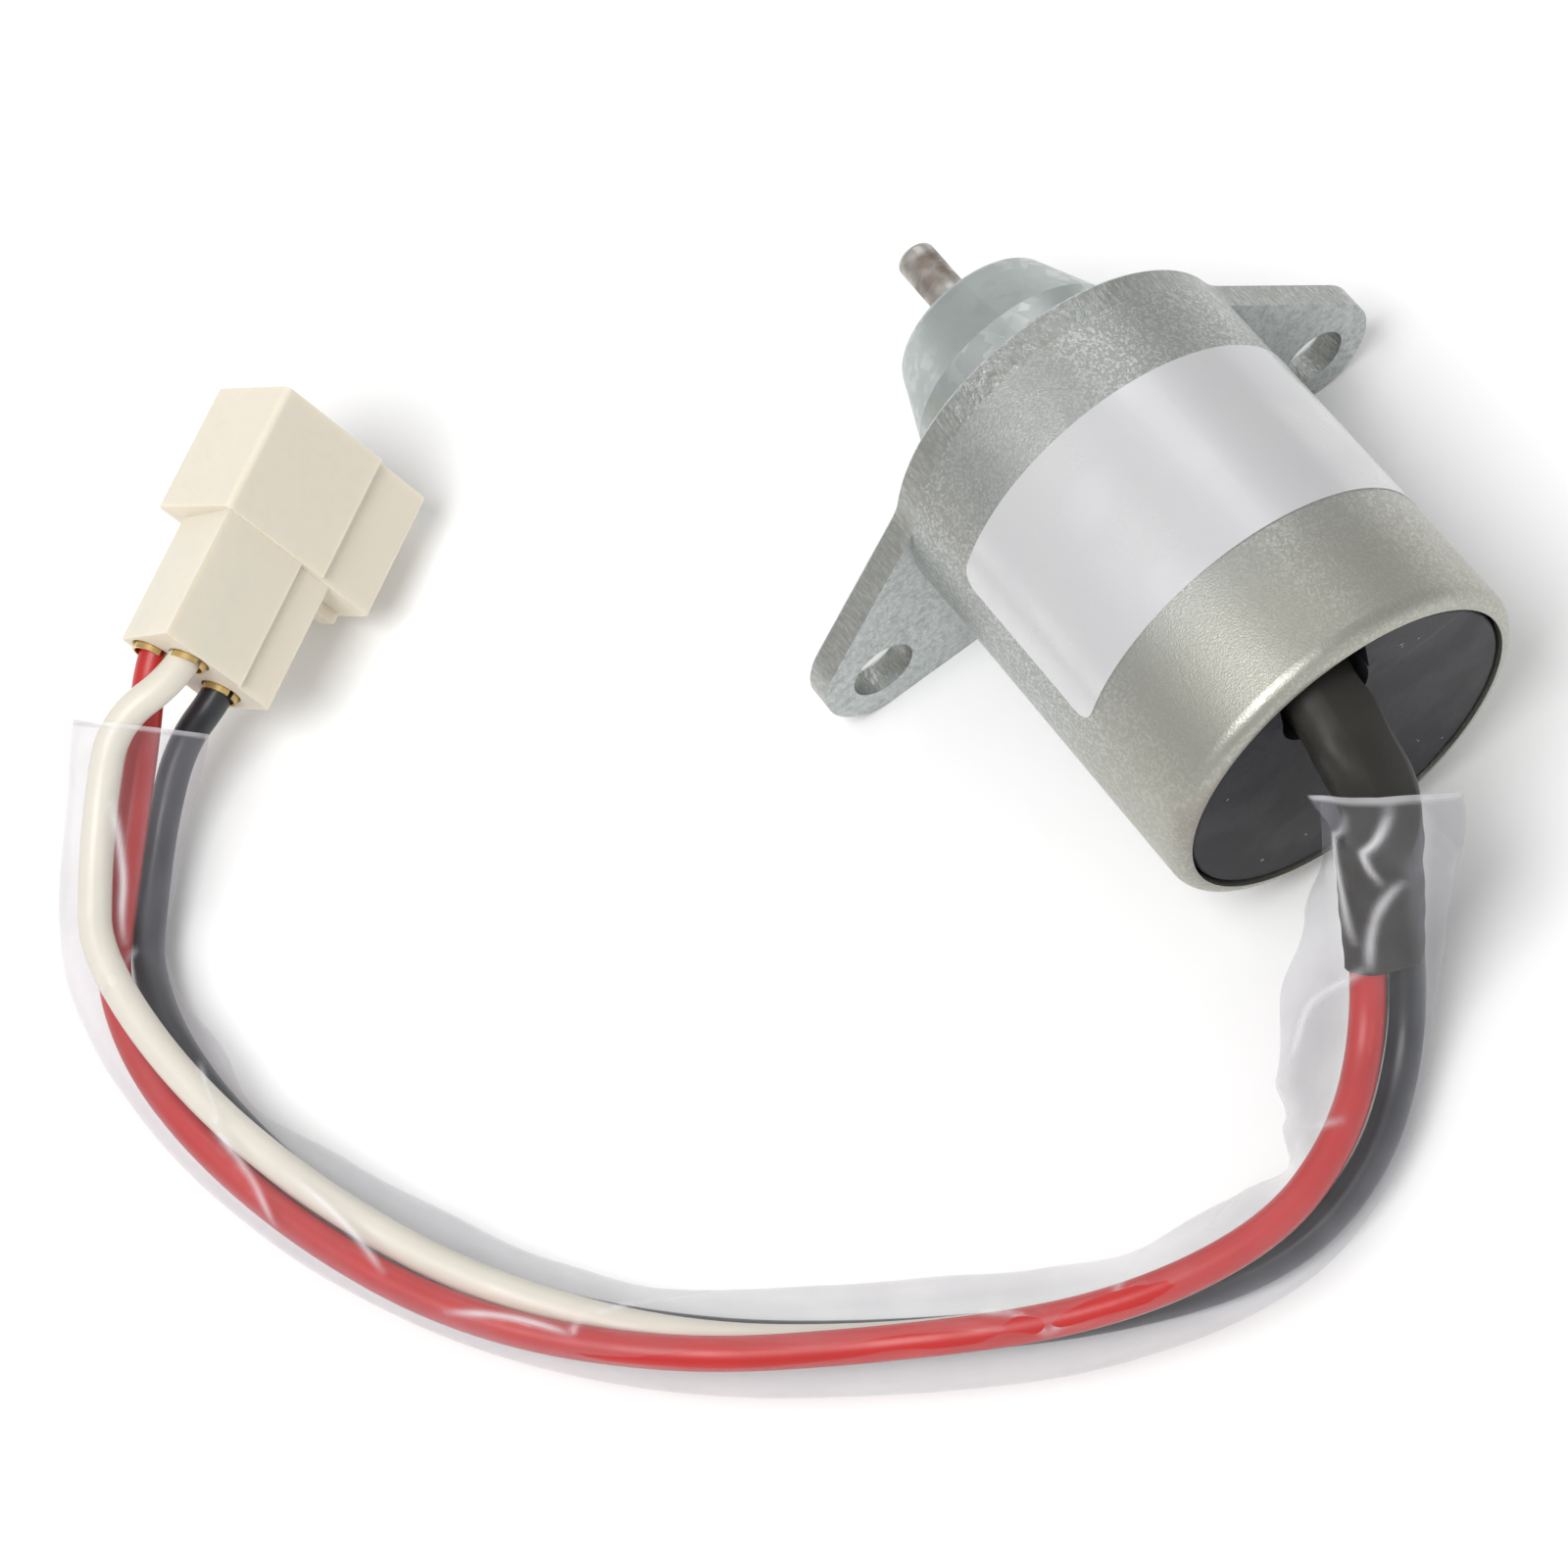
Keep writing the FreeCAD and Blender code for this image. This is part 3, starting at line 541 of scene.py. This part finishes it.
label = {"name": "blankSilverLabel", "metallic": 0.35, "coat": 0.3, "colour": (0.64, 0.64, 0.65, 1),
         "shade": (0.62, 0.62, 0.635, 1), "rough": (0.27, 0.33), "grainPerMm": 5.0, "crystalPerMm": 6.0,
         "bumpMm": 0.008}


def clearFilm(spec):
    # nearly clear where it lies over the wires, greyer with painted shade where it stands free at its sides,
    # with a painted near-white highlight along its folds and cut ends
    material, graph, shade = startMaterial(spec["name"], IOR=spec["ior"], Specular_IOR_Level=spec["specular"])
    place = millimetres(graph)
    cloud = graph.add("ShaderNodeTexNoise", Vector=place, Scale=spec["cloudPerMm"], Detail=2.0)
    shine = graph.add("ShaderNodeAttribute", {"attribute_name": "shine"}).outputs["Fac"]
    stands = graph.add("ShaderNodeAttribute", {"attribute_name": "stands"}).outputs["Fac"]
    # painted shade: more haze and a greyer tone toward the sides where the film stands free, for the film
    # seen edge-on; the film's own haze stays everywhere
    haze = graph.math("ADD", graph.span(stands, 0.0, 1.0, spec["clear"], spec["free"]),
                      graph.math("MULTIPLY", shine, spec["highlightHaze"]))
    haze = graph.math("MULTIPLY", haze, graph.span(cloud, 0.3, 0.7, *spec["cloudHaze"]), True)
    tone = graph.mix(stands, spec["clearColour"], spec["sideShadeColour"])
    # painted highlight: the near-white bright colour is mixed in along the folds and the cut ends
    graph.feed(shade, "Base_Color", graph.mix(shine, tone, spec["bright"]))
    graph.feed(shade, "Alpha", haze)
    graph.feed(shade, "Roughness", graph.span(cloud, 0.3, 0.7, *spec["rough"]))
    ripple = graph.add("ShaderNodeTexNoise", Vector=place, Scale=spec["ripplePerMm"], Detail=1.0)
    bump(graph, shade, ripple, spec["bumpMm"])
    return material


film = {
    # the grey free colour and the higher free haze are painted shade toward the film's sides, where it is
    # seen edge-on
    "name": "clearSleeveFilm", "clearColour": (0.72, 0.72, 0.76, 1), "sideShadeColour": (0.44, 0.43, 0.49, 1),
    # bright is the painted highlight colour for folds and cut ends, which also get more haze there
    "bright": (0.98, 0.98, 1.0, 1), "clear": 0.065, "free": 0.22, "highlightHaze": 0.6, "rough": (0.08, 0.16),
    "ior": 1.45, "specular": 0.6, "cloudPerMm": 0.16, "cloudHaze": (0.85, 1.15),
    "ripplePerMm": 0.3, "bumpMm": 0.25,
    "linePoints": 2000, "lineSteps": 40, "fromShare": 0.084, "toShare": 0.969, "rings": 640, "around": 120,
    # half heights in mm, and how the inner side lies down where it is wider than the snug width
    "above": 5.3, "below": 5.35, "snug": 4.6, "droop": 0.5, "lean": 0.09,
    "widths": [  # share of the length, inner and outer half width in mm
        (0.0, 5.4, 7.5), (0.045, 5.1, 6.6), (0.075, 6.9, 6.0), (0.12, 9.6, 4.8), (0.155, 9.0, 4.8),
        (0.185, 6.4, 4.7), (0.21, 3.5, 4.8), (0.235, 5.1, 4.9), (0.26, 5.3, 4.9), (0.305, 4.2, 4.9),
        (0.345, 5.0, 5.0), (0.40, 5.6, 4.9), (0.445, 5.4, 4.8), (0.53, 4.4, 4.7), (0.585, 5.2, 4.7),
        (0.65, 6.0, 4.8), (0.71, 5.4, 5.1), (0.775, 3.7, 5.2), (0.815, 5.2, 5.1), (0.85, 4.6, 5.3),
        (0.885, 4.4, 5.6), (0.93, 5.2, 6.2), (1.0, 6.6, 6.6)],
    # its own line at the connector
    "bends": [(19.8, 103.4, -15.0), (29.2, 95.0, -11.8), (40.9, 82.7, -5.0)],
    "swell": 0.24, "swellFrom": 0.86,
    "mouthFlat": 0.14, "mouthSlantMm": 2.4, "mouthTurnMm": 2.2, "mouthShare": 0.07, "tightShare": 0.14,
    "folds": [  # share and angle where a fold starts and ends; 0 outer side, 90 top, 180 inner side
        (0.085, 100, 0.150, 150), (0.030, 62, 0.085, 96), (0.008, 122, 0.070, 106), (0.004, 84, 0.034, 80),
        (0.110, 172, 0.185, 160), (0.180, 96, 0.212, 166), (0.212, 168, 0.262, 120),
        (0.286, 168, 0.312, 84), (0.296, 74, 0.345, 60), (0.345, 60, 0.372, 92), (0.500, 150, 0.545, 96),
        (0.545, 96, 0.560, 62), (0.560, 62, 0.620, 44), (0.655, 60, 0.720, 100), (0.715, 40, 0.765, 84),
        (0.765, 84, 0.800, 128), (0.862, 70, 0.880, 130), (0.885, 118, 0.960, 96)],
    "meanR": 5.5, "foldMm": 0.55, "foldWideMm": 1.3, "foldBowMm": 0.9, "shineMm": 0.42, "topFrom": 0.25,
    "buckleMm": 0.5, "bucklePerMm": 0.09, "buckleRound": 1.6, "buckleSeed": 5, "buckleSink": 0.2,
    "clearWithinMm": 2.8, "clearFadeMm": 1.8, "lipMm": 0.35, "lipShine": 0.5,
    "shineRise": 1.5, "shineSide": 0.5,  # painted fold highlights on the upper side only, where the light falls
}


def leadLine(count):
    # points read from the lead's own NURBS centre line, evenly spaced, in millimetres
    points = [*lead["route"][:lead["shared"]], *film["bends"]]
    line = nurbsCord("leadLine", [Vector(p) * mm for p in points], 0)
    line.data.use_fill_caps = False
    line.data.resolution_u = film["lineSteps"]
    mesh = bpy.data.meshes.new_from_object(line)
    rows = np.array([v.co[:] for v in mesh.vertices]) / mm
    bpy.data.meshes.remove(mesh)
    bpy.data.objects.remove(line)
    reach = np.concatenate([[0], np.cumsum(np.linalg.norm(np.diff(rows, axis=0), axis=1))])
    at = np.linspace(0, reach[-1], count)
    return np.stack([np.interp(at, reach, rows[:, k]) for k in range(3)], axis=1)


def stretchOf(line, begin, end, count):
    # the part of the line between the points nearest to begin and end
    first = np.argmin(np.linalg.norm(line - begin, axis=1))
    last = np.argmin(np.linalg.norm(line - end, axis=1))
    at = np.linspace(first, last, count)
    steps = np.arange(len(line))
    return np.stack([np.interp(at, steps, line[:, k]) for k in range(3)], axis=1)


def onRun(run, share):
    # a place on one of the route's straight runs
    route = np.array(lead["route"])
    return route[run] + (route[run + 1] - route[run]) * share


def framesOn(path):
    # sideways and upward directions at each point of a path
    along = np.gradient(path, axis=0)
    along /= np.linalg.norm(along, axis=1)[:, None]
    side = np.cross((0, 0, 1), along)
    side /= np.linalg.norm(side, axis=1)[:, None]
    return side, np.cross(along, side)


def gridMesh(name, rows):
    # rings of points in mm, joined to an open tube
    count, around = rows.shape[:2]
    faces = []
    for i in range(count - 1):
        for j in range(around):
            k = (j + 1) % around
            faces.append((i * around + j, i * around + k, (i + 1) * around + k, (i + 1) * around + j))
    data = bpy.data.meshes.new(name)
    data.from_pydata([tuple(p) for p in rows.reshape(-1, 3) * mm], [], faces)
    data.update()
    data.polygons.foreach_set("use_smooth", [True] * len(data.polygons))
    piece = bpy.data.objects.new(name, data)
    bpy.context.scene.collection.objects.link(piece)
    return piece


def eased(table, share):
    # the row of the table at this share, with a soft pass from each row to the next
    for before, here in zip(table, table[1:]):
        if share <= here[0]:
            t = (share - before[0]) / (here[0] - before[0])
            t = t * t * (3 - 2 * t)
            return [a + (b - a) * t for a, b in zip(before[1:], here[1:])]
    return table[-1][1:]


def foldMarks(reach, angles):
    # how close each point of the film is to a fold: wide valleys for the form, thin lines for the painted
    # highlight
    valley, shine = np.zeros((len(reach), len(angles))), np.zeros((len(reach), len(angles)))
    x, y = reach[:, None], angles[None, :] * film["meanR"]
    for start, angleStart, end, angleEnd in film["folds"]:
        ax, ay = start * reach[-1], math.radians(angleStart) * film["meanR"]
        bx, by = end * reach[-1], math.radians(angleEnd) * film["meanR"]
        long = math.hypot(bx - ax, by - ay)
        t = np.clip(((x - ax) * (bx - ax) + (y - ay) * (by - ay)) / long ** 2, 0, 1)
        bow = film["foldBowMm"] * np.sin(math.pi * t)
        gap = np.hypot(x - ax - t * (bx - ax), y - ay - t * (by - ay) - bow)
        fade = np.sqrt(np.sin(math.pi * np.clip(t, 0.02, 0.98)))
        valley = np.maximum(valley, fade * np.exp(-(gap / film["foldWideMm"]) ** 2))
        shine = np.maximum(shine, fade * np.exp(-(gap / film["shineMm"]) ** 2))
    return valley, shine


def setMark(piece, name, values):
    mark = piece.data.attributes.new(name, "FLOAT", "POINT")
    mark.data.foreach_set("value", values.astype(np.float32).ravel())


def makeFilm(line):
    path = stretchOf(line, line[int(film["fromShare"] * len(line))],
                     line[int(film["toShare"] * len(line))], film["rings"])
    side, up = framesOn(path)
    along = np.cross(side, up)
    reach = np.concatenate([[0], np.cumsum(np.linalg.norm(np.diff(path, axis=0), axis=1))])
    angles = np.linspace(0, 2 * math.pi, film["around"], endpoint=False)
    valley, shine = foldMarks(reach, angles)
    rows = np.zeros((len(path), film["around"], 3))
    stands = np.zeros((len(path), film["around"]))
    for i, share in enumerate(reach / reach[-1]):
        innerWide, outerWide = eased(film["widths"], share)
        loose = max(0.0, innerWide - film["snug"])
        mouth = max(0.0, 1 - share / film["mouthShare"])
        free = min(1.0, share / film["tightShare"])  # no deep folds where the film lies on the heat-shrink
        for j, angle in enumerate(angles):
            c, s = math.cos(angle), math.sin(angle)
            inward = max(0.0, -c)
            wide = outerWide if c > 0 else innerWide
            tall = (film["above"] if s > 0 else film["below"]) * (1 - film["lean"] * loose * inward)
            tall *= 1 + film["swell"] * max(0.0, share - film["swellFrom"]) / (1 - film["swellFrom"])
            tall *= 1 - film["mouthFlat"] * mouth
            onTop = max(0.0, s + film["topFrom"]) / (1 + film["topFrom"])
            buckle = noise.noise(Vector((reach[i] * film["bucklePerMm"], c * film["buckleRound"],
                                         s * film["buckleRound"] + film["buckleSeed"])))
            push = film["buckleMm"] * (buckle - film["buckleSink"] * free)
            push = onTop * (push - film["foldMm"] * free ** 2 * valley[i, j])
            height = tall * s - film["droop"] * loose * inward ** 2
            slant = (film["mouthTurnMm"] * c - film["mouthSlantMm"] * s) * mouth
            rows[i, j] = (path[i] + side[i] * c * (wide + push) + up[i] * (height + s * push)
                          + along[i] * slant)
            # painted shade mask, rising toward the film's sides where the film is seen edge-on
            stands[i, j] = (abs(c) * wide - film["clearWithinMm"]) / film["clearFadeMm"]
    # painted highlight: a thin bright lip at both cut ends, and fold highlights kept to the upward faces
    lip = (np.minimum(reach, reach[-1] - reach) < film["lipMm"]) * film["lipShine"]
    facesUp = np.clip(np.sin(angles) * film["shineRise"] + film["shineSide"], 0, 1)
    shine = np.maximum(shine * facesUp, lip[:, None])
    piece = gridMesh("filmSleeve", rows)
    setMark(piece, "shine", shine)
    setMark(piece, "stands", np.clip(stands, 0, 1))
    piece.data.materials.append(clearFilm(film))
    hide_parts("film_sleeve")
    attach(piece, "solenoid")
    return piece


shrink = {"wallMm": 0.30, "rings": 110, "perWire": 16, "fromShare": 0.35, "toShare": 0.5, "hug": 0.5,
          "wrinkleMm": 0.15, "wrinklePerRing": 0.1, "wrinkleRound": 0.4,
          "elbowShare": 0.72, "elbowWide": 0.16, "elbowMm": 0.5}


def makeShrink(line):
    # skin drawn tight round the three wires, between their hull and a plain round tube
    path = stretchOf(line, onRun(0, shrink["fromShare"]), onRun(2, shrink["toShare"]), shrink["rings"])
    side, up = framesOn(path)
    skin = lead["wireR"] + shrink["wallMm"]
    spread = lead["spacing"] / math.sqrt(3)
    outline = []
    for k in range(3):
        middle = math.radians(120 * k)
        for t in np.linspace(-60, 60, shrink["perWire"], endpoint=False):
            out = middle + math.radians(t)
            hull = np.array((spread * math.cos(middle) + skin * math.cos(out),
                             spread * math.sin(middle) + skin * math.sin(out)))
            full = hull / np.linalg.norm(hull) * (spread + skin)
            outline.append(full + (hull - full) * shrink["hug"])
    rows = np.zeros((len(path), len(outline), 3))
    for i in range(len(path)):
        # at its elbow the skin stands higher, over the wire on top
        fromElbow = (i / len(path) - shrink["elbowShare"]) / shrink["elbowWide"]
        elbow = shrink["elbowMm"] * math.exp(-fromElbow ** 2)
        for j, (c, s) in enumerate(outline):
            wrinkle = noise.noise(Vector((i * shrink["wrinklePerRing"], c * shrink["wrinkleRound"],
                                          s * shrink["wrinkleRound"])))
            size = 1 + elbow * max(0.0, s) / (spread + skin) ** 2 + shrink["wrinkleMm"] / skin * wrinkle
            rows[i, j] = path[i] + side[i] * c * size + up[i] * s * size
    piece = gridMesh("shrinkSleeve", rows)
    solid = piece.modifiers.new("wall", "SOLIDIFY")
    solid.thickness = shrink["wallMm"] * mm
    solid.offset = -1
    piece.data.materials.append(mouldedPlastic(plastics["shrink"]))
    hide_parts("shrink_sleeve")
    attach(piece, "solenoid")
    return piece


makeCamera()
centre = leadLine(film["linePoints"])
sleeves = [makeShrink(centre), makeFilm(centre)]
print("camera, heat-shrink and film sleeves made")

cords = {}
for name, wire in lead["wires"].items():
    points = wirePoints(name)
    cords[name] = nurbsCord(name, points, lead["wireR"] * mm)
    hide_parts(wire["node"])
    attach(cords[name], "solenoid")
    onIt = [nodes[wire["node"].replace("wire", "terminal")]]
    if name == "wireRed":
        onIt += [nodes["connector_housing"], *sleeves]
    cords[name].data.materials.append(mouldedPlastic(plastics[name[4:].lower()]))
print("cords made:", ", ".join(cords))


def makeSpring():
    # stands for the spring's solid
    piece = bpy.data.objects.new("returnSpring", nodes["return_spring"].data.copy())
    bpy.context.scene.collection.objects.link(piece)
    piece.data.materials.clear()
    piece.data.materials.append(turnedSteel(turnings["spring"]))
    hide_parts("return_spring")
    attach(piece, "solenoid")
    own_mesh(piece)


def dress(material, *names):
    for name in names:
        data = nodes[name].data
        data.materials.clear()
        data.materials.append(material)


softEdges = {"widthMm": {"mounting_flange": 0.22, "connector_housing": 0.3}, "segments": 2, "angle": 35}


def soften(name, widthMm):
    bevel = nodes[name].modifiers.new("softEdges", "BEVEL")
    bevel.width = widthMm * mm
    bevel.segments = softEdges["segments"]
    bevel.limit_method = "ANGLE"
    bevel.angle_limit = math.radians(softEdges["angle"])


dress(platedSteel(finishes["can"]), "can")
dress(platedSteel(finishes["flange"]), "mounting_flange")
dress(platedSteel(finishes["nose"]), "nose_housing")
dress(turnedSteel(turnings["rod"]), "plunger_rod")
dress(turnedSteel(turnings["core"]), "plunger", "fixed_pole", "rear_flux_plate", "front_flux_ring")
dress(turnedSteel(turnings["brass"]), "guide_tube", "terminal_red", "terminal_white", "terminal_black")
dress(turnedSteel(turnings["bronze"]), "rod_bush")
dress(turnedSteel(turnings["copper"]), "pull_coil", "hold_coil", "coil_tail")
makeSpring()
dress(mouldedPlastic(plastics["cap"]), "end_cap")
dress(mouldedPlastic(plastics["potting"]), "potting")
dress(mouldedPlastic(plastics["bobbin"]), "bobbin")
dress(mouldedPlastic(plastics["seal"]), "rod_seal", "seat_washer")
dress(mouldedPlastic(plastics["tape"]), "coil_tape", "outer_tape")
dress(mouldedPlastic(plastics["housing"]), "connector_housing")
dress(blankLabel(label), "label")
for name, widthMm in softEdges["widthMm"].items():
    soften(name, widthMm)
print("finishes laid on the rigid pieces")

makeStudio()
print("studio made")

bpy.context.view_layer.update()
